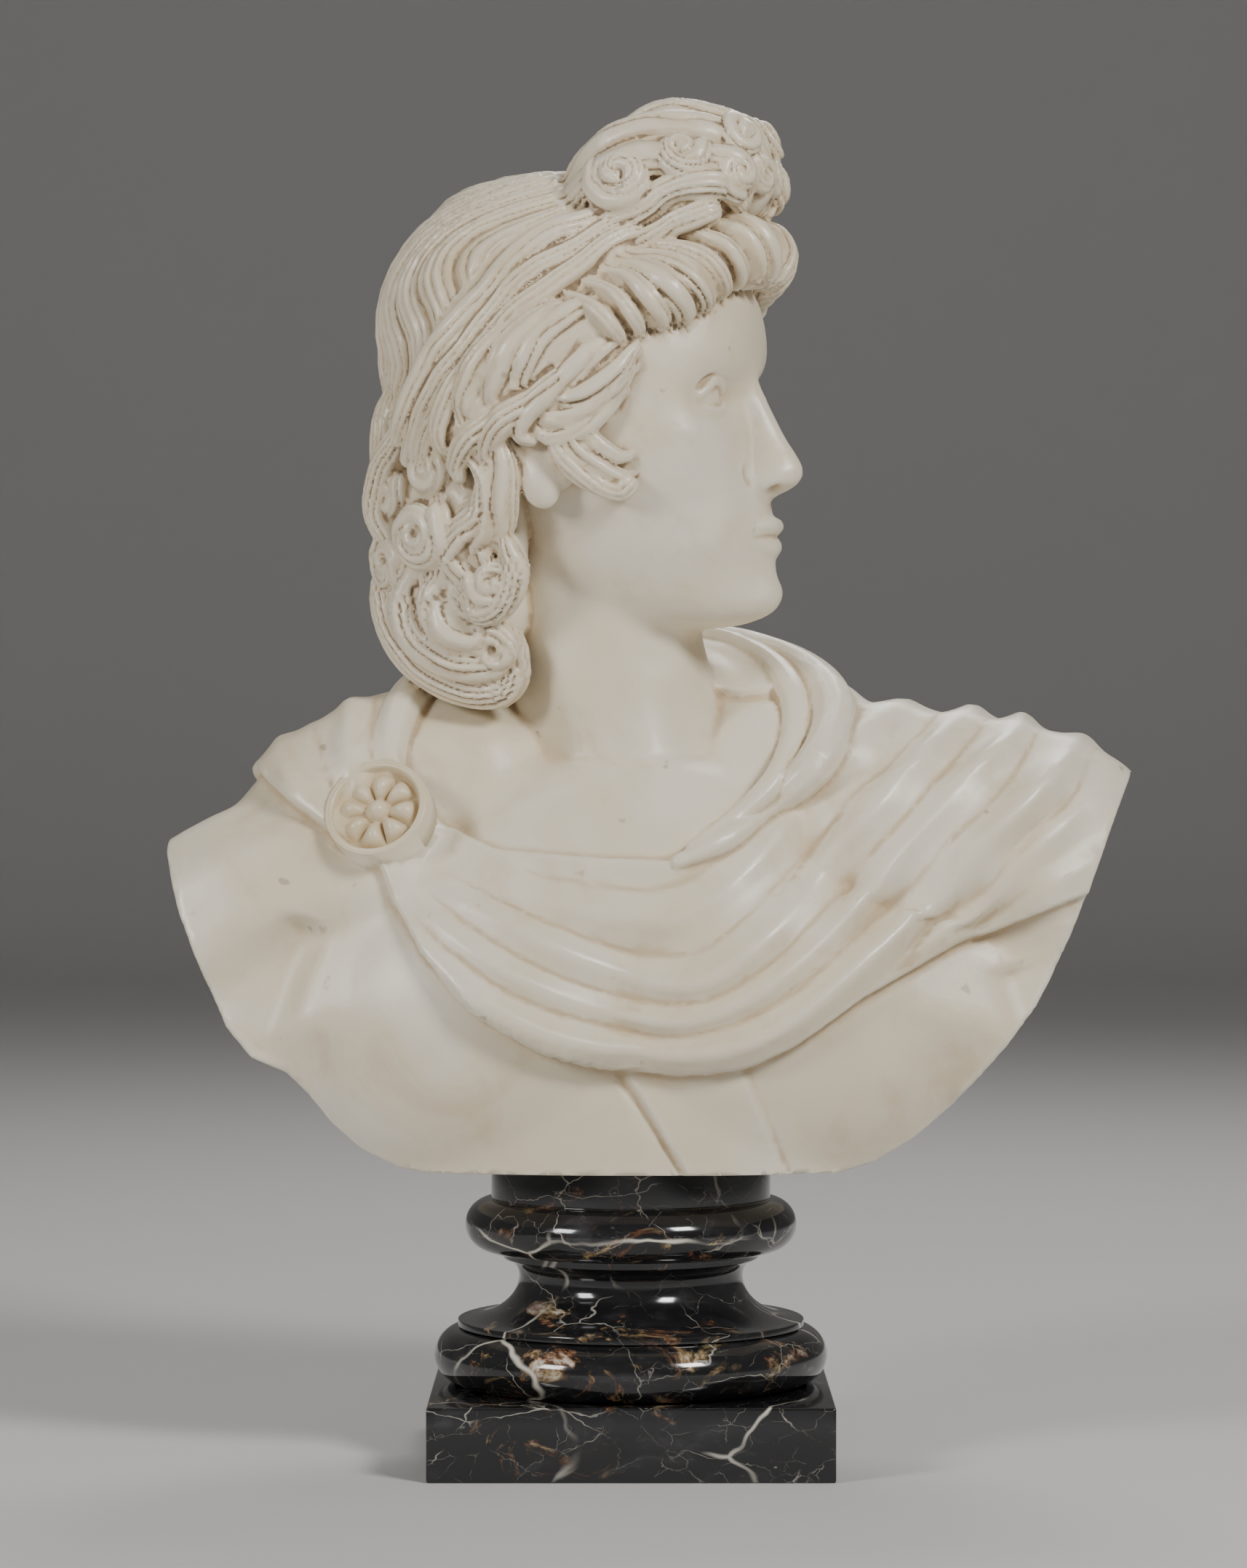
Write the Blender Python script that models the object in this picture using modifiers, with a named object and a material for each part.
# A carved marble bust of a youth in a pinned cloak, standing on a turned marble socle.
# The bust faces -Y with its head turned to its own left (+X). Z is up and the socle stands on z = 0.
import math

import bmesh
import bpy
import numpy as np
from mathutils import Euler, Matrix, Vector
from mathutils.bvhtree import BVHTree

# Socle, in metres
PLINTH_WIDTH = 0.161
PLINTH_HEIGHT = 0.0296
PLINTH_EDGE = 0.0010  # arris worn round
FOOT_RADIUS = 0.0800  # lower torus
FOOT_HEIGHT = 0.0230
SPLAY_RADIUS = 0.0705  # fillet on the lower torus
SPLAY_HEIGHT = 0.0030
WAIST_RADIUS = 0.0456
HOLLOW_HEIGHT = 0.0245  # scotia, fillet to fillet
COLLAR_RADIUS = 0.0520  # fillet under the upper torus
COLLAR_HEIGHT = 0.0035
RING_RADIUS = 0.0675  # upper torus
RING_HEIGHT = 0.0210
DRUM_RADIUS = 0.0569
DRUM_HEIGHT = 0.0154
SOCLE_STEPS = 32

# Bust, in metres
BUST_HEIGHT = 0.4300  # flat underside to the top of the knot of hair
SEAT_GAP = 0.0003  # between the underside and the drum it rests on

# The bust is drawn in parts, 430 of them to its height, from the middle of its underside.
DRAWN_HEIGHT = 430.0
PART = BUST_HEIGHT / DRAWN_HEIGHT
VOXEL = 3.0
BUST_TRIANGLES = 6600

# The head is drawn life size in millimetres, from midway between the ears: +X nose, +Y left, +Z up.
HEAD_CENTRE = (-19.0, 0.0, 295.0)
HEAD_SHARE = 182.0 / 232.0
HEAD_TURN = 72.0
HEAD_NOD = 4.0

BODY = Matrix.Identity(4)
HEAD = (
    Matrix.Translation(HEAD_CENTRE)
    @ Matrix.Rotation(math.radians(HEAD_TURN - 90), 4, "Z")
    @ Matrix.Rotation(math.radians(-HEAD_NOD), 4, "Y")
    @ Matrix.Scale(HEAD_SHARE, 4)
)

# Cloak, in parts, seen from the front as (x, z)
CLOAK_THICKNESS = 4.5
CLOAK_EDGE = 2.5
FLAP_EDGE = [(-156, 168), (-146, 155), (-125, 139), (-108, 127)]
HEM = [(-99, 121), (-94, 108), (-81, 87), (-61, 68), (-35, 55), (-9, 48), (15, 46), (36, 48), (60, 55),
       (77, 65), (101, 79), (128, 93), (150, 103), (183, 115), (215, 124)]
NECKLINE = [(-84, 192), (-95, 175), (-92, 158), (-80, 136), (-53, 126), (-13, 125), (13, 124), (27, 135),
            (51, 156), (61, 180), (58, 198), (40, 230), (-70, 230)]
STRAP = [(-8, 52), (42, 52), (67, -8), (25, -8)]
STRAP_THICKNESS = 2.0
BACK_EDGE = [(-156, 168), (-138, 110), (-130, 60), (-126, -10)]

# The bust is cut off below along these lines: the arms and chest from the front, the chest and back from the side.
FRONT_CUT = [(-187, 127), (-180, 103), (-170, 78), (-161, 58), (-151, 46), (-137, 40), (-128, 31), (-119, 20),
             (-107, 10), (-92, 3), (-72, 0), (78, 0), (96, 5), (112, 14), (127, 26), (139, 39), (150, 52),
             (161, 66), (167, 77), (175, 95), (182, 112), (188, 128), (195, 145), (203, 160)]
SIDE_CUT = [(62, 0), (84, 18), (100, 55), (110, 110)]
FRONT_SHARE, BACK_SHARE = -1.0, 0.84

BROOCH = {"centre": (-99, 141), "radius": 21.0, "thickness": 7.0}


# Clay: masses gathered in one bmesh and fused into one skin


def add_object(name, data, helper=False):
    """A new object, in the collection of the part or in that of its cutters and guides."""
    obj = bpy.data.objects.new(name, data)
    bpy.data.collections["cutters" if helper else "marble bust"].objects.link(obj)
    if helper:
        obj.hide_render = True
        obj.display_type = "WIRE"
    return obj


def blob(clay, frame, centre, size, turn=(0, 0, 0)):
    """An ellipsoid of half-lengths size, turned by degrees about its own X, Y and Z."""
    place = Matrix.LocRotScale(Vector(centre), Euler([math.radians(a) for a in turn]), Vector(size))
    ball = bmesh.new()
    bmesh.ops.create_uvsphere(ball, u_segments=28, v_segments=18, radius=1.0, matrix=frame @ place)
    mesh = bpy.data.meshes.new("ball")
    ball.to_mesh(mesh)
    ball.free()
    clay.from_mesh(mesh)
    bpy.data.meshes.remove(mesh)


def pair(clay, frame, centre, size, turn=(0, 0, 0)):
    """A blob on each side of the head's or body's middle plane, turned as mirror images."""
    x, y, z = centre
    a, b, c = turn
    blob(clay, frame, (x, y, z), size, (a, b, c))
    blob(clay, frame, (x, -y, z), size, (-a, b, -c))


def smooth_path(points, steps=6):
    """Points along a smooth curve through the given ones. Each row is a place and whatever goes with it."""
    p = np.array(points, float)
    p = np.vstack([2 * p[0] - p[1], p, 2 * p[-1] - p[-2]])
    t = np.linspace(0, 1, steps, endpoint=False)[:, None]
    spans = [
        0.5 * (2 * b + (c - a) * t + (2 * a - 5 * b + 4 * c - d) * t**2 + (3 * b - a - 3 * c + d) * t**3)
        for a, b, c, d in zip(p[:-3], p[1:-2], p[2:-1], p[3:])
    ]
    return np.vstack(spans + [p[-2:-1]])


def lobed_section(lobes, depth):
    """A closed curve to sweep a lock of hair along: a round with shallow flutes between its strands."""
    section = bpy.data.curves.new("strand section", "CURVE")
    spline = section.splines.new("POLY")
    count = max(12, lobes * 6)
    spline.points.add(count - 1)
    for i, point in enumerate(spline.points):
        angle = 2 * math.pi * i / count
        r = 1 - depth * (0.5 + 0.5 * math.cos(lobes * angle))
        point.co = (r * math.cos(angle), r * math.sin(angle), 0, 1)
    spline.use_cyclic_u = True
    return add_object("strand section", section, helper=True)


def rounded_ends(rows):
    """The same path with a short tapered tip beyond each end."""
    tips = []
    for end, before in ((rows[0], rows[1]), (rows[-1], rows[-2])):
        away = end[:3] - before[:3]
        away /= max(np.linalg.norm(away), 1e-9)
        tips.append([(*(end[:3] + away * end[3] * reach), end[3] * share) for reach, share in ((0.45, 0.8), (0.75, 0.4))])
    return np.array(tips[0][::-1] + [tuple(row[:4]) for row in rows] + tips[1])


def ropes(clay, frame, paths, lobes=0, depth=0.2, steps=6):
    """Tubes along smooth paths of rows (x, y, z, radius), fluted into strands where lobes is set."""
    curve = bpy.data.curves.new("ropes", "CURVE")
    curve.dimensions = "3D"
    curve.use_fill_caps = True
    section = None
    if lobes:
        section = lobed_section(lobes, depth)
        curve.bevel_mode = "OBJECT"
        curve.bevel_object = section
    else:
        curve.bevel_depth = 1.0
        curve.bevel_resolution = 3
    for path in paths:
        rows = rounded_ends(smooth_path(path, steps))
        spline = curve.splines.new("POLY")
        spline.points.add(len(rows) - 1)
        for point, row in zip(spline.points, rows):
            point.co = (*row[:3], 1)
            point.radius = max(row[3], 0.3)
    obj = add_object("ropes", curve, helper=True)
    bpy.context.view_layer.update()
    mesh = bpy.data.meshes.new_from_object(obj.evaluated_get(bpy.context.evaluated_depsgraph_get()))
    mesh.transform(frame)
    clay.from_mesh(mesh)
    bpy.data.meshes.remove(mesh)
    for helper in filter(None, (obj, section)):
        bpy.data.objects.remove(helper)


def settle(obj):
    """Replaces the object's mesh by what its modifiers make of it."""
    bpy.context.view_layer.update()
    mesh = bpy.data.meshes.new_from_object(obj.evaluated_get(bpy.context.evaluated_depsgraph_get()))
    obj.modifiers.clear()
    obj.data = mesh
    return obj


def fused(name, clay, voxel, passes):
    """One skin round all the clay, smoothed by the given number of passes."""
    mesh = bpy.data.meshes.new(name)
    clay.to_mesh(mesh)
    clay.free()
    obj = add_object(name, mesh)
    skin = obj.modifiers.new("skin", "REMESH")
    skin.mode = "VOXEL"
    skin.voxel_size = voxel
    if passes:
        smooth = obj.modifiers.new("smooth", "SMOOTH")
        smooth.factor = 0.5
        smooth.iterations = passes
    return settle(obj)


def add_mesh(clay, obj):
    """Puts a finished object's mesh into the clay and removes the object."""
    clay.from_mesh(obj.data)
    bpy.data.objects.remove(obj)


# Carving: functions that move the points of a skin


def points_of(obj):
    co = np.empty(len(obj.data.vertices) * 3, np.float32)
    obj.data.vertices.foreach_get("co", co)
    normal = np.empty_like(co)
    obj.data.vertices.foreach_get("normal", normal)
    return co.reshape(-1, 3).astype(float), normal.reshape(-1, 3).astype(float)


def set_points(obj, co):
    obj.data.vertices.foreach_set("co", co.astype(np.float32).ravel())
    obj.data.update()


def ramp(x):
    x = np.clip(x, 0, 1)
    return x * x * (3 - 2 * x)


def inside_by(x, z, outline):
    """How far each point (x, z) lies inside a closed outline, negative outside."""
    corners = np.array(outline, float)
    best = np.full(len(x), 1e9)
    inside = np.zeros(len(x), bool)
    for (ax, az), (bx, bz) in zip(corners, np.roll(corners, -1, axis=0)):
        along = np.clip(((x - ax) * (bx - ax) + (z - az) * (bz - az)) / ((bx - ax) ** 2 + (bz - az) ** 2), 0, 1)
        best = np.minimum(best, np.hypot(x - ax - along * (bx - ax), z - az - along * (bz - az)))
        crosses = (az > z) != (bz > z)
        if az != bz:
            inside ^= crosses & (x < (bx - ax) * (z - az) / (bz - az) + ax)
    return np.where(inside, best, -best)


def push(obj, frame, centre, size, move):
    """Moves the skin near centre by move, fading out over the half-lengths size. All in the frame's units."""
    co, _ = points_of(obj)
    local = co @ np.array(frame.inverted().to_3x3()).T + np.array(frame.inverted().translation)
    reach = np.exp(-(((local - np.array(centre)) / np.array(size)) ** 2).sum(axis=1) * 1.4)
    set_points(obj, co + reach[:, None] * np.array(frame.to_3x3() @ Vector(move)))


def near_path(co, path):
    """Distance from each point to a path, and the share of the path's length that it is level with."""
    lengths = np.linalg.norm(np.diff(path, axis=0), axis=1)
    starts = np.concatenate([[0], np.cumsum(lengths)])
    best = np.full(len(co), 1e9)
    share = np.zeros(len(co))
    for a, b, start, length in zip(path[:-1], path[1:], starts, lengths):
        if length < 1e-9:
            continue
        along = np.clip((co - a) @ (b - a) / length**2, 0, 1)
        away = np.linalg.norm(co - a - along[:, None] * (b - a), axis=1)
        nearer = away < best
        best[nearer] = away[nearer]
        share[nearer] = (start + along[nearer] * length) / starts[-1]
    return best, share


def carve(obj, frame, paths, width, depth):
    """Cuts a soft groove along each path, or raises a ridge where depth is negative. It fades at its ends."""
    co, normal = points_of(obj)
    scale = frame.to_scale().x
    for points in paths:
        path = smooth_path(points, 5) @ np.array(frame.to_3x3()).T + np.array(frame.translation)
        reach = 3 * width * scale
        near = ((co > path.min(axis=0) - reach) & (co < path.max(axis=0) + reach)).all(axis=1)
        away, share = near_path(co[near], path)
        fade = ramp(share * 6) * ramp((1 - share) * 6)
        cut = depth * scale * fade * np.exp(-((away / (width * scale)) ** 2))
        co[near] -= cut[:, None] * normal[near]
    set_points(obj, co)


# Torso


def torso_masses(clay):
    blob(clay, BODY, (0, 5, 20), (140, 80, 150))
    blob(clay, BODY, (0, 36, 105), (118, 46, 88))
    blob(clay, BODY, (0, -14, 118), (74, 40, 46))
    ropes(clay, BODY, [[(-72, 16, 172, 24), (-34, 42, 182, 26), (14, 50, 186, 26), (50, 38, 182, 26), (78, 10, 168, 24)]])
    for side in (-1, 1):
        blob(clay, BODY, (side * 62, -46, 52), (70, 36, 54), (0, side * 12, side * 8))
        blob(clay, BODY, (side * 42, 30, 172), (62, 30, 26), (0, side * 24, 0))
    ropes(clay, BODY, [
        [(-55, 12, 148, 46), (-92, 8, 138, 48), (-124, 5, 120, 47)],
        [(-112, 6, 122, 46), (-150, 4, 99, 47), (-205, 0, 62, 45)],
        [(50, 12, 146, 46), (100, 8, 133, 47), (150, 5, 124, 47), (176, 3, 112, 45)],
        [(150, 5, 118, 46), (178, 2, 88, 46), (196, 0, 40, 42)],
    ])


def trim(obj):
    """Cuts the torso to its outline, seen from the front and from the side."""
    top = 300.0
    front = [(x, z) for x, z in FRONT_CUT] + [(FRONT_CUT[-1][0], top), (FRONT_CUT[0][0], top)]
    side = [(FRONT_SHARE * y, z) for y, z in SIDE_CUT] + [(FRONT_SHARE * SIDE_CUT[-1][0], top)]
    side += [(BACK_SHARE * SIDE_CUT[-1][0], top)] + [(BACK_SHARE * y, z) for y, z in SIDE_CUT[::-1]]
    for outline, across in ((front, (0, 1, 0)), (side, (1, 0, 0))):
        across = Vector(across) * 250
        block = bmesh.new()
        places = [Vector((u, 0, z)) if across.y else Vector((0, u, z)) for u, z in outline]
        face = block.faces.new([block.verts.new(p - across) for p in places])
        pushed = bmesh.ops.extrude_face_region(block, geom=[face])["geom"]
        bmesh.ops.translate(block, vec=across * 2, verts=[v for v in pushed if isinstance(v, bmesh.types.BMVert)])
        bmesh.ops.recalc_face_normals(block, faces=block.faces)
        mesh = bpy.data.meshes.new("outline")
        block.to_mesh(mesh)
        block.free()
        cutter = add_object("outline", mesh, helper=True)
        cut = obj.modifiers.new("outline", "BOOLEAN")
        cut.operation = "INTERSECT"
        cut.object = cutter
        settle(obj)
        bpy.data.objects.remove(cutter)


# Cloak


def cover(co):
    """How far the cloak covers each point of the torso, 0 to 1."""
    x, y, z = co.T
    front = FLAP_EDGE + HEM + [(215, 300), (-156, 300)]
    back = BACK_EDGE + [(215, -10), (215, 300), (-156, 300)]
    on_front = np.minimum(inside_by(x, z, front), -inside_by(x, z, NECKLINE))
    on_back = inside_by(x, z, back)
    behind = ramp((y - 2) / 14)
    return ramp(0.5 + (on_front * (1 - behind) + on_back * behind) / CLOAK_EDGE)


def on_torso(tree, front, over=(), sink=0.0):
    """Rows of (x, y, z, radius) for a fold. front rows are (x, z, radius, height), seen from the front. over rows
    are (x, angle, radius, height), seen from a line through the shoulders: 90 is up and 0 straight back."""
    rows = []
    for x, z, radius, height in front:
        hit, normal, *_ = tree.ray_cast(Vector((x, -300, z)), Vector((0, 1, 0)))
        if hit is None:
            continue
        rows.append((*(hit - normal * (radius - height + sink)), radius))
    for x, angle, radius, height in over:
        out = Vector((0, math.cos(math.radians(angle)), math.sin(math.radians(angle))))
        start = Vector((x, 5, 110))
        hit, normal, *_ = tree.ray_cast(start + out * 300, -out)
        if hit is None:
            continue
        rows.append((*(hit - normal * (radius - height + sink)), radius))
    return rows


def fold_rows():
    """The folds from the brooch across the chest and over the left shoulder, top to bottom."""
    return [
        # the neckline, taut from the brooch, then up and over the shoulder
        ([(-82, 133, 7, 4), (-52, 121, 8, 4), (-14, 118, 8, 4), (18, 116, 9, 5), (44, 131, 10, 6), (74, 158, 12, 7),
          (98, 180, 13, 7)], [(112, 88, 14, 7), (116, 50, 14, 6), (104, 12, 13, 5), (84, -20, 12, 4)]),
        ([(-84, 127, 8, 4), (-50, 104, 9, 4), (-12, 88, 10, 5), (18, 82, 10, 5), (46, 98, 11, 6), (80, 128, 12, 7),
          (112, 160, 13, 7)], [(136, 85, 14, 8), (142, 48, 14, 7), (130, 10, 13, 5), (108, -24, 12, 4)]),
        ([(-88, 120, 8, 4), (-64, 92, 10, 5), (-34, 74, 11, 6), (0, 63, 12, 6), (32, 66, 12, 7), (66, 90, 12, 7),
          (100, 120, 12, 7), (134, 152, 12, 7)], [(158, 82, 13, 7), (166, 46, 13, 6), (156, 8, 12, 5), (138, -20, 12, 4)]),
        ([(-95, 112, 8, 5), (-82, 86, 10, 7), (-58, 67, 11, 8), (-24, 54, 12, 8), (14, 51, 13, 9), (48, 56, 13, 9),
          (80, 76, 12, 8), (112, 104, 12, 8), (146, 134, 12, 8), (176, 152, 12, 7)],
         [(190, 80, 13, 7), (196, 45, 12, 5)]),
        ([(62, 66, 6, 3), (92, 88, 8, 4), (126, 112, 8, 4), (160, 132, 8, 4), (196, 146, 8, 4)], []),
        ([(70, 60, 5, 2), (100, 76, 7, 3), (130, 92, 7, 3), (156, 103, 7, 3), (192, 116, 7, 3)], []),
        # over the right shoulder from the brooch
        ([(-104, 146, 7, 3), (-113, 162, 8, 3), (-117, 178, 8, 3)], [(-118, 88, 8, 3), (-116, 45, 9, 3), (-100, 0, 9, 3)]),
        ([(-112, 136, 6, 2), (-128, 148, 7, 3), (-140, 158, 7, 3)], [(-142, 80, 8, 3), (-132, 40, 9, 3)]),
    ]


def back_rows():
    """Plain swags across the back."""
    return [
        [(x, angle, 12, 4) for x, angle in path]
        for path in (
            [(96, 40), (60, 8), (16, -8), (-30, -8), (-66, 4), (-92, 30)],
            [(112, 10), (76, -18), (22, -34), (-28, -34), (-70, -20), (-104, 4)],
            [(130, -10), (92, -36), (30, -50), (-26, -50), (-72, -38), (-112, -16)],
        )
    ]


def collar_path(tree):
    """The rolled neckline, from the brooch up behind the neck and down to the breast."""
    front = on_torso(tree, [(-92, 150, 7, 5), (-96, 166, 8, 5), (-92, 180, 8, 5)])
    behind = [(-80, 16, 194, 9), (-54, 48, 204, 10), (-10, 66, 210, 11), (34, 56, 211, 11), (62, 32, 203, 11),
              (76, 4, 192, 11), (77, -18, 178, 10)]
    down = on_torso(tree, [(66, 160, 9, 6), (48, 143, 8, 5), (30, 128, 7, 4)])
    return front + behind + down


# Head and neck, in millimetres of the head's own drawing


def both_sides(rows):
    """A path that starts on the left and ends in the middle, carried on as its mirror image to the right."""
    return [tuple(r) for r in rows] + [(r[0], -r[1], *r[2:]) for r in rows[-2::-1]]


def both_sides(rows):
    """A path that starts on the left and ends in the middle, carried on as its mirror image to the right."""
    return [tuple(r) for r in rows] + [(r[0], -r[1], *r[2:]) for r in rows[-2::-1]]


# The head from the crown to under the chin: height, front, back, half-width, where it is widest, squareness in front
SKULL = [
    (129, 4, -30, 14, -12, 2.0), (124, 36, -58, 36, -12, 2.0), (110, 64, -80, 57, -10, 2.1),
    (88, 86, -93, 69, -6, 2.2), (60, 96, -98, 74, 0, 2.3), (36, 97, -98, 73, 6, 2.5), (14, 91, -94, 71, 12, 2.5),
    (-6, 91, -84, 69, 20, 2.4), (-26, 93, -70, 65, 22, 2.25), (-46, 97, -52, 58, 20, 2.05),
    (-62, 99, -30, 53, 16, 1.9), (-76, 98, -14, 46, 16, 1.75), (-88, 101, 0, 38, 20, 1.7),
    (-98, 97, 12, 27, 30, 1.8), (-104, 78, 36, 10, 56, 2.0),
]
NOSE = [
    (38, 94, 70, 8, 82, 2.2), (24, 96, 70, 7.5, 82, 2.0), (8, 102, 70, 8.5, 82, 1.8), (-8, 109, 70, 10, 82, 1.7),
    (-18, 114.5, 70, 12, 82, 1.7), (-25, 117.5, 70, 14.5, 82, 1.8), (-31, 116.5, 70, 16, 82, 1.9),
    (-36, 110, 70, 14.5, 82, 2.0), (-40, 99, 70, 9, 82, 2.0),
]


def loft(clay, frame, levels):
    """A closed form through rounded sections, one above another."""
    rows = smooth_path(levels, 5)
    shape = bmesh.new()
    rings = []
    count = 40
    for z, front, back, wide, middle, square in rows:
        ring = []
        for k in range(count):
            angle = 2 * math.pi * k / count
            c, s = math.cos(angle), math.sin(angle)
            power = 2 / (square if c > 0 else 2.0)
            length = (front - middle) if c > 0 else (middle - back)
            x = middle + length * math.copysign(abs(c) ** power, c)
            ring.append(shape.verts.new((x, wide * math.copysign(abs(s) ** power, s), z)))
        rings.append(ring)
    for near, far in zip(rings[:-1], rings[1:]):
        for k in range(count):
            after = (k + 1) % count
            shape.faces.new((near[k], far[k], far[after], near[after]))
    shape.faces.new(rings[0])
    shape.faces.new(rings[-1][::-1])
    bmesh.ops.recalc_face_normals(shape, faces=shape.faces)
    mesh = bpy.data.meshes.new("loft")
    shape.to_mesh(mesh)
    shape.free()
    mesh.transform(frame)
    clay.from_mesh(mesh)
    bpy.data.meshes.remove(mesh)


def head_masses(clay):
    loft(clay, HEAD, SKULL)


def neck_masses(clay):
    ropes(clay, BODY, [
        [(4, 16, 120, 56), (2, 14, 152, 50), (-8, 11, 190, 44), (-17, 8, 232, 42), (-20, 6, 270, 40)],
    ])


EYE = (69.0, 31.0, 12.0)
EYE_RADIUS = 14.4


def lid(side, rise, radius, thick):
    """A lid's edge, from the inner corner of the eye to the outer one."""
    rows = []
    for t in np.linspace(-1, 1, 9):
        across, up = 14.2 * t, rise * (1 - t * t) - 1.0 - 1.2 * t
        forward = math.sqrt(max(radius**2 - across**2 - up**2, 4))
        turn = math.radians(-13)
        x = EYE[0] + forward * math.cos(turn) + across * math.sin(turn)
        y = EYE[1] - forward * math.sin(turn) * 0.35 + across * math.cos(turn)
        rows.append((x, side * y, EYE[2] + up, thick * (0.75 + 0.25 * (1 - t * t))))
    return rows


def face_masses(clay):
    loft(clay, HEAD, NOSE)
    blob(clay, HEAD, (88, 0, -88), (13, 15, 11))
    ropes(clay, HEAD, [
        # brow
        both_sides([(58, 55, 24, 3), (71, 46, 32, 4), (82, 32, 35, 5), (89, 16, 32, 5), (92, 4, 30, 5)]),
        # upper and lower lip
        both_sides([(84, 25, -58, 1.2), (94, 15, -55, 3.4), (99.5, 5, -53, 4.6), (100, 0, -54, 4.2)]),
        both_sides([(85, 21, -60, 1.2), (94, 12, -63.5, 4.4), (98, 0, -65, 5.2)]),
    ])


def eye_masses(clay):
    for side in (-1, 1):
        blob(clay, HEAD, (EYE[0], side * EYE[1], EYE[2]), (EYE_RADIUS,) * 3)
    ropes(clay, HEAD, [lid(side, rise, EYE_RADIUS + 1.6, thick) for side in (-1, 1)
                       for rise, thick in ((7.0, 2.6), (-4.4, 2.2))])


def ear_masses(clay):
    for side in (-1, 1):
        ropes(clay, HEAD, [
            [(12, side * 72, 14, 3.5), (6, side * 76, 28, 4), (-8, side * 79, 32, 4), (-18, side * 79, 20, 4),
             (-17, side * 77, 2, 4), (-8, side * 75, -18, 4)],
        ])
        blob(clay, HEAD, (-2, side * 71, 0), (12, 6, 26))
        blob(clay, HEAD, (1, side * 75, -27), (8, 6, 9))


# Hair

CAP_CENTRE = np.array([-14.0, 0.0, 60.0])
CAP_SIZE = np.array([92.0, 79.0, 78.0])
CAP_DROP = 1.32  # the hair hangs lower behind than a ball would


def on_cap(azimuth, lift, rise=0.0):
    """A point on the cap of hair. azimuth 0 is the forehead and 90 the left ear; lift is degrees above the middle."""
    a, e = math.radians(azimuth), math.radians(lift)
    out = np.array([math.cos(a) * math.cos(e), math.sin(a) * math.cos(e), math.sin(e)])
    size = CAP_SIZE + rise
    if lift < 0:
        size = size * (1, 1, CAP_DROP)
    return CAP_CENTRE + out * size


def cap_strands():
    """Long wavy strands from the crown down to the roll over the brow, the ears and the nape."""
    rows = []
    count = 38
    for i in range(count):
        azimuth = 360 * (i + 0.5) / count
        aside = abs((azimuth + 180) % 360 - 180)
        low = float(np.interp(aside, [0, 40, 75, 105, 130, 180], [48, 44, 16, -14, -44, -56]))
        group = math.sin(3.1 * math.radians(azimuth) * 2) + 0.6 * math.sin(7.3 * math.radians(azimuth))
        path = []
        for k in range(9):
            share = k / 8
            lift = 82 - (82 - low) * share
            wave = 9 * math.sin(2 * math.pi * (1.1 * share + 0.12 * group)) * min(1, 2 * share)
            x, y, z = on_cap(azimuth + wave, lift, -2.0)
            path.append((x - 24 * (1 - share) ** 2, y, z, 4.6 + 3.0 * math.sin(math.pi * min(1, share * 1.1))))
        rows.append(path)
    return rows


ROLL = [(84, 4, 104), (78, 26, 98), (66, 46, 84), (50, 61, 64), (30, 72, 44), (8, 79, 28), (-16, 82, 14)]


def roll_locks(side):
    """The hair swept back off the brow: locks that rise from the hairline, turn over a roll and run back."""
    core = smooth_path([(x, side * y, z) for x, y, z in ROLL], 6)
    rows = []
    for i in range(1, len(core) - 1, 4):
        ahead = core[i + 1] - core[i - 1]
        ahead /= np.linalg.norm(ahead)
        out = core[i] - np.array([0.0, 0.0, 40.0])
        out -= ahead * (out @ ahead)
        out /= np.linalg.norm(out)
        down = np.cross(ahead, out)
        down *= 1 if down[2] < 0 or (abs(down[2]) < 0.3 and down[0] > 0) else -1
        size = 1 - 0.22 * i / len(core)
        moves = [(14, -3, -6, 5.0), (13, 7, -2, 7.6), (3, 13, 4, 8.8), (-11, 11, 12, 8.4), (-23, 3, 22, 6.8), (-32, -3, 34, 3.6)]
        rows.append([(*(core[i] + size * (d * down + o * out + a * ahead)), r * size) for d, o, a, r in moves])
    return rows


def spiral(centre, facing, start, radius, turns, thick, thin, rise):
    """A curl wound flat, like a snail: facing is its axis, start its first direction."""
    n = np.array(facing, float) / np.linalg.norm(facing)
    u = np.array(start, float) - n * (np.array(start, float) @ n)
    u /= np.linalg.norm(u)
    v = np.cross(n, u)
    rows = []
    steps = int(abs(turns) * 8) + 1
    for k in range(steps + 1):
        share = k / steps
        angle = 2 * math.pi * turns * share
        r = radius * (1 - 0.82 * share)
        p = np.array(centre) + r * (math.cos(angle) * u + math.sin(angle) * v) + n * rise * share
        rows.append((*p, thick + (thin - thick) * share))
    return rows


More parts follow.
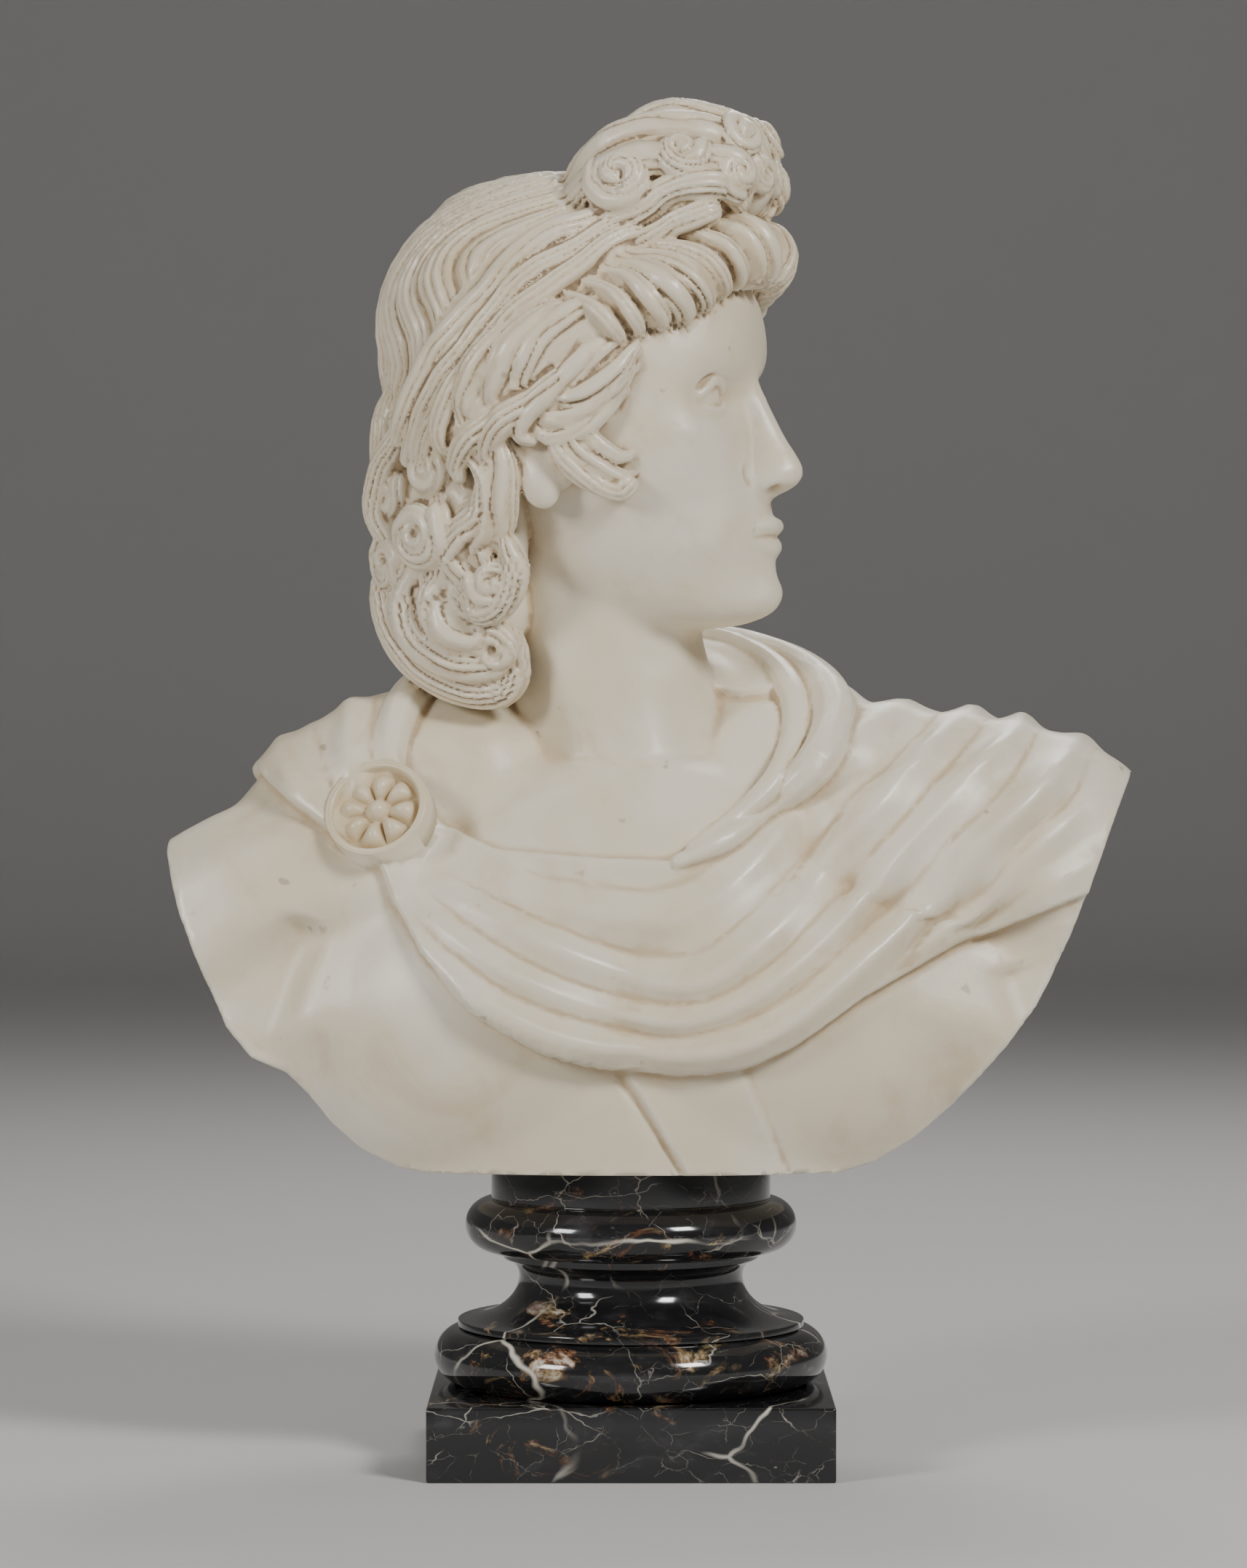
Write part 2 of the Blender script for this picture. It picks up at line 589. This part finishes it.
def knot_locks():
    """The bow of hair on top: two loops of thick locks with curled ends."""
    rows = []
    for side in (-1, 1):
        rows += [
            [(72, side * 3, 116, 9), (44, side * 9, 116, 12), (16, side * 18, 121, 13), (8, side * 29, 134, 14),
             (28, side * 35, 149, 14.5), (56, side * 34, 155, 14.5), (80, side * 27, 151, 13), (93, side * 17, 143, 11),
             (94, side * 8, 131, 8)],
            [(62, side * 6, 118, 10), (38, side * 24, 120, 13), (26, side * 37, 130, 12), (44, side * 43, 138, 12),
             (68, side * 39, 137, 12), (86, side * 28, 130, 10), (92, side * 16, 124, 7)],
            spiral((48, side * 46, 140), (0.1, side * 1.0, 0.35), (-1, 0, 0.3), 11, 1.3, 8, 4.5, 6),
            spiral((90, side * 17, 146), (1.0, side * 0.5, 0.3), (0, 0, 1), 8, 1.2, 7, 4.5, 6),
        ]
    rows.append([(24, 0, 124, 14), (48, 0, 138, 18), (70, 0, 142, 17), (88, 0, 136, 12)])
    rows.append([(68, 0, 110, 14), (86, 0, 116, 14), (94, 0, 126, 10)])
    return rows


# Snail curls: place, size, turns and the direction each starts in
CURLS = [
    (-58, 68, -16, 17, 1.4, 1.6), (-64, 64, -50, 21, 1.6, 0.5), (-34, 66, -72, 19, -1.4, 3.0),
    (-88, 48, -74, 20, -1.4, 2.2), (-56, 60, -104, 19, 1.4, 1.0), (-86, 50, -34, 17, 1.3, 0.2),
]


def side_locks(side):
    """Waves drawn back over the ear, the curls before it, and the bunch of curls behind and below it."""
    rows = [
        # waves over the ear
        [(54, 64, 52, 5), (38, 73, 34, 8), (14, 80, 20, 9), (-12, 84, 12, 9), (-36, 80, 0, 8), (-54, 74, -10, 7)],
        [(48, 67, 32, 4), (32, 74, 18, 7), (10, 79, 6, 8), (-14, 82, 0, 8), (-34, 78, -10, 7)],
        # before the ear
        [(46, 64, 22, 3), (36, 70, 8, 6), (22, 73, -2, 7), (8, 74, -10, 6)],
        [(50, 61, 20, 3), (46, 65, 4, 5.5), (38, 68, -8, 6), (38, 66, -20, 5), (46, 62, -26, 4)],
        [(40, 66, 10, 3), (30, 69, -4, 5.5), (24, 69, -14, 5), (26, 67, -22, 4)],
        # behind the ear, drawn down from the band
        [(-14, 76, 14, 8), (-34, 78, 6, 10), (-52, 74, 2, 11), (-68, 64, 2, 9)],
        [(-32, 74, -4, 8), (-20, 70, -24, 9), (-22, 68, -46, 10), (-34, 62, -58, 9)],
        [(-74, 58, 4, 9), (-88, 48, -14, 10), (-92, 44, -40, 10)],
        [(-44, 64, -34, 9), (-42, 62, -56, 9), (-52, 58, -76, 10), (-70, 54, -88, 9)],
        # the large scroll at the bottom
        [(-90, 34, -84, 10), (-88, 38, -106, 12), (-72, 44, -126, 12), (-50, 48, -130, 11), (-34, 50, -118, 8)],
    ]
    rows = [[(x, side * y, z, r) for x, y, z, r in row] for row in rows]
    for x, y, z, size, wind, start in CURLS:
        rows.append(spiral((x, side * y, z), (x + 30, side * (y + 20), 0.2 * z + 10), (math.cos(start), 0, math.sin(start)),
                           size * 0.62, wind * side, size * 0.52, size * 0.30, size * 0.45))
    return rows


def nape_locks():
    """Locks across the back of the neck that end in curls."""
    rows = []
    for i, y in enumerate((-30, -15, 0, 15, 30)):
        lean = 6 * (-1) ** i
        low = -100 - 10 * (i % 2)
        rows.append([(-82, y * 0.8, 30, 6), (-92, y, 8, 9), (-95, y + lean, -16, 10), (-89, y - lean, -42, 11),
                     (-80, y + lean, -68, 11), (-74, y - lean, low + 8, 11), (-64, y, low, 9)])
        rows.append(spiral((-78, y, low + 4), (-1, 0, -0.5), (0, (-1) ** i, 0), 9, 1.3, 8, 5, 6))
    return rows


def hair_masses(clay):
    blob(clay, HEAD, tuple(CAP_CENTRE), tuple(CAP_SIZE))
    blob(clay, HEAD, (-30, 0, 46), (76, 68, 92), (0, 6, 0))
    for side in (-1, 1):
        blob(clay, HEAD, (-58, side * 46, -40), (22, 22, 60), (0, 4, 0))
        blob(clay, HEAD, (-58, side * 40, -96), (24, 20, 30))
    blob(clay, HEAD, (-62, 0, -40), (26, 44, 70), (0, -8, 0))
    blob(clay, HEAD, (58, 0, 116), (36, 32, 20))
    ropes(clay, HEAD, cap_strands(), lobes=3, depth=0.3)
    locks = knot_locks() + nape_locks()
    for side in (-1, 1):
        locks += side_locks(side)
        locks += roll_locks(side)
        ropes(clay, HEAD, [[(x, side * y, z, 12 - 0.5 * k) for k, (x, y, z) in enumerate(ROLL)]])
    ropes(clay, HEAD, locks, lobes=5, depth=0.22, steps=4)


# Brooch


def make_brooch(tree, rings, segments):
    """A round brooch: a raised rim round a rosette of eight petals with a boss in the middle."""
    x, z = BROOCH["centre"]
    hit, *_ = tree.ray_cast(Vector((x, -300, z)), Vector((0, 1, 0)))
    facing = Vector((-0.25, -0.80, 0.45)).normalized()
    frame = Matrix.Translation(hit + facing * 3) @ facing.to_track_quat("Z", "Y").to_matrix().to_4x4()
    radius, thick = BROOCH["radius"], BROOCH["thickness"]
    shape = bmesh.new()
    loops = []
    for share in np.linspace(0, 1, rings + 1)[1:]:
        loop = []
        for k in range(segments):
            angle = 2 * math.pi * k / segments
            petal = abs(math.cos(4 * angle)) ** 0.6 * math.sin(math.pi * min(max((share - 0.2) / 0.6, 0), 1)) ** 0.7
            height = thick - 2.6 + 3.0 * petal
            height = max(height, thick + 1.2 - 14 * (share / 0.22) ** 2 * 0.25 if share < 0.24 else -9)
            if share > 0.82:
                height = max(height, thick - 2.6 + 3.2 * math.sin(math.pi * min((share - 0.82) / 0.18, 0.62)))
            r = radius * share
            loop.append(shape.verts.new(frame @ Vector((r * math.cos(angle), r * math.sin(angle), height))))
        loops.append(loop)
    loops.append([shape.verts.new(frame @ Vector((1.02 * radius * math.cos(2 * math.pi * k / segments),
                                                  1.02 * radius * math.sin(2 * math.pi * k / segments), -thick)))
                  for k in range(segments)])
    middle = shape.verts.new(frame @ Vector((0, 0, thick + 1.4)))
    for k in range(segments):
        after = (k + 1) % segments
        shape.faces.new((middle, loops[0][k], loops[0][after]))
        for near, far in zip(loops[:-1], loops[1:]):
            shape.faces.new((near[k], far[k], far[after], near[after]))
    shape.faces.new(loops[-1][::-1])
    bmesh.ops.recalc_face_normals(shape, faces=shape.faces)
    mesh = bpy.data.meshes.new("brooch")
    shape.to_mesh(mesh)
    shape.free()
    return add_object("brooch", mesh, helper=True)


# Whole bust


def make_torso():
    clay = bmesh.new()
    torso_masses(clay)
    torso = fused("torso", clay, VOXEL, 10)
    co, normal = points_of(torso)
    set_points(torso, co + CLOAK_THICKNESS * cover(co)[:, None] * normal)
    clay = bmesh.new()
    clay.from_mesh(torso.data)
    tree = BVHTree.FromBMesh(clay)
    folds = [on_torso(tree, front, over) for front, over in fold_rows()]
    folds += [on_torso(tree, [], over) for over in back_rows()]
    ropes(clay, BODY, folds + [collar_path(tree)])
    bpy.data.objects.remove(torso)
    torso = fused("torso", clay, VOXEL * 0.8, 2)
    co, normal = points_of(torso)
    on_strap = inside_by(co[:, 0], co[:, 2], STRAP) * (co[:, 1] < -20)
    set_points(torso, co + STRAP_THICKNESS * ramp(0.5 + on_strap / 2)[:, None] * (co[:, 1] < -20)[:, None] * normal)
    carve(torso, BODY, [[(-128, -62, 104), (-136, -58, 84), (-144, -50, 62), (-152, -40, 42)]], 5.0, 5.0)
    trim(torso)
    return torso, tree


def laid(tree, rows):
    """Rows (x, y, z, radius, height) moved onto the nearest skin, so that a tube there stands height above it."""
    out = []
    for x, y, z, radius, height in rows:
        place, normal, *_ = tree.find_nearest(Vector((x, y, z)))
        out.append((*(place - normal * (radius - height)), radius))
    return out


def make_head():
    clay = bmesh.new()
    head_masses(clay)
    neck_masses(clay)
    head = fused("head", clay, VOXEL * 0.8, 10)
    for side in (-1, 1):
        push(head, HEAD, (84, side * 31, 14), (16, 16, 11), (-9, 0, 0))
        push(head, HEAD, (86, side * 17, 14), (12, 7, 9), (-4, 0, 0))
        push(head, HEAD, (70, side * 56, 44), (26, 16, 22), (0, -side * 3, 0))
        push(head, HEAD, (68, side * 48, -8), (22, 16, 10), (2, side * 2, 0))
        push(head, HEAD, (72, side * 44, -42), (20, 16, 16), (0, -side * 3, 0))
    clay = bmesh.new()
    clay.from_mesh(head.data)
    tree = BVHTree.FromBMesh(clay)
    bpy.data.objects.remove(head)
    face_masses(clay)
    ear_masses(clay)
    near_ear = HEAD @ Vector((-16, -50, -30))
    far_ear = HEAD @ Vector((-16, 50, -30))
    ropes(clay, BODY, [
        laid(tree, [(*near_ear, 13, 2), (-46, -28, 226, 13, 3), (-30, -40, 196, 12, 3), (-10, -46, 168, 10, 3), (2, -46, 148, 8, 3)]),
        laid(tree, [(*far_ear, 13, 2), (12, -16, 222, 13, 2), (18, -34, 190, 12, 2), (20, -46, 166, 10, 2), (16, -48, 148, 8, 3)]),
    ])
    head = fused("head", clay, VOXEL * 0.5, 3)
    clay = bmesh.new()
    add_mesh(clay, head)
    eye_masses(clay)
    head = fused("head", clay, VOXEL * 0.45, 1)
    carve(head, HEAD, [both_sides([(83, 25, -59), (92, 16, -58.5), (99, 6, -57.5), (101, 0, -58.5)])], 1.8, 2.4)
    carve(head, HEAD, [[(107, 0, -36), (105, 0, -44), (104, 0, -50)]], 2.6, 1.4)
    return head


def biggest_piece(obj):
    """Drops any crumb that isn't joined to the main body."""
    shape = bmesh.new()
    shape.from_mesh(obj.data)
    shape.verts.ensure_lookup_table()
    left = set(shape.verts)
    groups = []
    while left:
        found, queue = set(), [left.pop()]
        while queue:
            vert = queue.pop()
            found.add(vert)
            for edge in vert.link_edges:
                other = edge.other_vert(vert)
                if other in left:
                    left.discard(other)
                    queue.append(other)
        groups.append(found)
    for group in sorted(groups, key=len)[:-1]:
        bmesh.ops.delete(shape, geom=list(group), context="VERTS")
    shape.to_mesh(obj.data)
    shape.free()


def unite(obj, other):
    """Joins another solid to the object."""
    join = obj.modifiers.new("join", "BOOLEAN")
    join.operation = "UNION"
    join.object = other
    settle(obj)
    bpy.data.objects.remove(other)


def make_bust(stone, seat):
    torso, tree = make_torso()
    brooch = make_brooch(tree, 9, 32)
    head = make_head()
    clay = bmesh.new()
    add_mesh(clay, torso)
    add_mesh(clay, head)
    hair_masses(clay)
    bust = fused("bust", clay, VOXEL * 0.45, 1)
    biggest_piece(bust)
    thin = bust.modifiers.new("thin", "DECIMATE")
    triangles = sum(len(face.vertices) - 2 for face in bust.data.polygons)
    thin.ratio = min(1.0, BUST_TRIANGLES / triangles)
    thin.use_collapse_triangulate = True
    co, _ = points_of(bust)
    local = co @ np.array(HEAD.inverted().to_3x3()).T + np.array(HEAD.inverted().translation)
    face = (np.abs(local - np.array([92, 0, -20])) < np.array([32, 47, 58])).all(axis=1)
    spare = bust.vertex_groups.new(name="spare")
    spare.add(np.flatnonzero(~face).tolist(), 1.0, "REPLACE")
    spare.add(np.flatnonzero(face).tolist(), 0.12, "REPLACE")
    thin.vertex_group = spare.name
    settle(bust)
    bust.vertex_groups.clear()
    unite(bust, brooch)
    flatten_seat(bust)
    bust.data.transform(Matrix.Translation((0, 0, seat)) @ Matrix.Scale(PART, 4))
    bust.data.materials.clear()
    bust.data.materials.append(stone)
    bust.data.shade_smooth()
    return bust


def flatten_seat(obj):
    """Cuts the underside to one true plane."""
    shape = bmesh.new()
    shape.from_mesh(obj.data)
    geom = shape.verts[:] + shape.edges[:] + shape.faces[:]
    cut = bmesh.ops.bisect_plane(shape, geom=geom, plane_co=(0, 0, 1.2), plane_no=(0, 0, 1), clear_inner=True)
    rim = [e for e in cut["geom_cut"] if isinstance(e, bmesh.types.BMEdge)]
    bmesh.ops.contextual_create(shape, geom=rim)
    bmesh.ops.triangulate(shape, faces=shape.faces)
    bmesh.ops.translate(shape, vec=(0, 0, -1.2), verts=shape.verts)
    bmesh.ops.recalc_face_normals(shape, faces=shape.faces)
    shape.to_mesh(obj.data)
    shape.free()


# Socle


def arc(centre_r, centre_z, size_r, size_z, start, end, steps=8):
    """Points of an ellipse's arc in the profile's plane, in degrees from +r towards +z."""
    turns = np.radians(np.linspace(start, end, steps))
    return [(centre_r + size_r * math.cos(a), centre_z + size_z * math.sin(a)) for a in turns]


def socle_profile():
    """The turned stone's outer side, top to bottom, as (radius, z)."""
    foot_base = PLINTH_HEIGHT
    splay = foot_base + FOOT_HEIGHT
    hollow = splay + SPLAY_HEIGHT
    collar = hollow + HOLLOW_HEIGHT
    ring = collar + COLLAR_HEIGHT
    drum = ring + RING_HEIGHT
    top = drum + DRUM_HEIGHT
    waist = hollow + 0.72 * HOLLOW_HEIGHT
    ring_half, foot_half = RING_HEIGHT / 2, FOOT_HEIGHT / 2
    points = [(0, top), (DRUM_RADIUS - 0.001, top), (DRUM_RADIUS, top - 0.001), (DRUM_RADIUS, drum)]
    points += arc(RING_RADIUS - ring_half, drum - ring_half, ring_half, ring_half, 84, -84, 9)
    points += [(COLLAR_RADIUS, ring), (COLLAR_RADIUS, collar)]
    points += arc(COLLAR_RADIUS, waist, COLLAR_RADIUS - WAIST_RADIUS, collar - waist, 100, 180, 5)
    points += arc(SPLAY_RADIUS, waist, SPLAY_RADIUS - WAIST_RADIUS, waist - hollow, 192, 270, 8)
    points += [(SPLAY_RADIUS, splay)]
    points += arc(FOOT_RADIUS - foot_half, splay - foot_half, foot_half, foot_half, 84, -84, 9)
    points += [(FOOT_RADIUS - foot_half, foot_base / 2), (0, foot_base / 2)]
    return points, top


def make_socle(stone):
    points, top = socle_profile()
    mesh = bpy.data.meshes.new("socle")
    mesh.from_pydata([(r, 0, z) for r, z in points], [(i, i + 1) for i in range(len(points) - 1)], [])
    socle = add_object("socle", mesh)
    screw = socle.modifiers.new("turn", "SCREW")
    screw.steps = SOCLE_STEPS
    screw.render_steps = SOCLE_STEPS
    screw.use_merge_vertices = True
    screw.merge_threshold = 0.0001
    plinth_shape = bmesh.new()
    place = Matrix.Translation((0, 0, PLINTH_HEIGHT / 2)) @ Matrix.Diagonal((PLINTH_WIDTH, PLINTH_WIDTH, PLINTH_HEIGHT, 1))
    bmesh.ops.create_cube(plinth_shape, size=1.0, matrix=place)
    bmesh.ops.bevel(plinth_shape, geom=plinth_shape.edges[:], offset=PLINTH_EDGE, segments=2, affect="EDGES", profile=0.5)
    plinth_mesh = bpy.data.meshes.new("plinth")
    plinth_shape.to_mesh(plinth_mesh)
    plinth_shape.free()
    plinth = add_object("plinth", plinth_mesh, helper=True)
    unite(socle, plinth)
    socle.data.materials.append(stone)
    socle.data.shade_smooth()
    return socle, top


def make_stone(name, colour, roughness):
    stone = bpy.data.materials.new(name)
    stone.use_nodes = True
    shader = stone.node_tree.nodes["Principled BSDF"]
    shader.inputs["Base Color"].default_value = (*colour, 1)
    shader.inputs["Roughness"].default_value = roughness
    return stone


def main():
    for obj in list(bpy.data.objects):
        bpy.data.objects.remove(obj)
    for name in ("marble bust", "cutters"):
        bpy.context.scene.collection.children.link(bpy.data.collections.new(name))
    white = make_stone("white marble", (0.80, 0.75, 0.66), 0.35)
    black = make_stone("black marble", (0.02, 0.02, 0.02), 0.15)
    _, socle_top = make_socle(black)
    make_bust(white, socle_top + SEAT_GAP)


main()
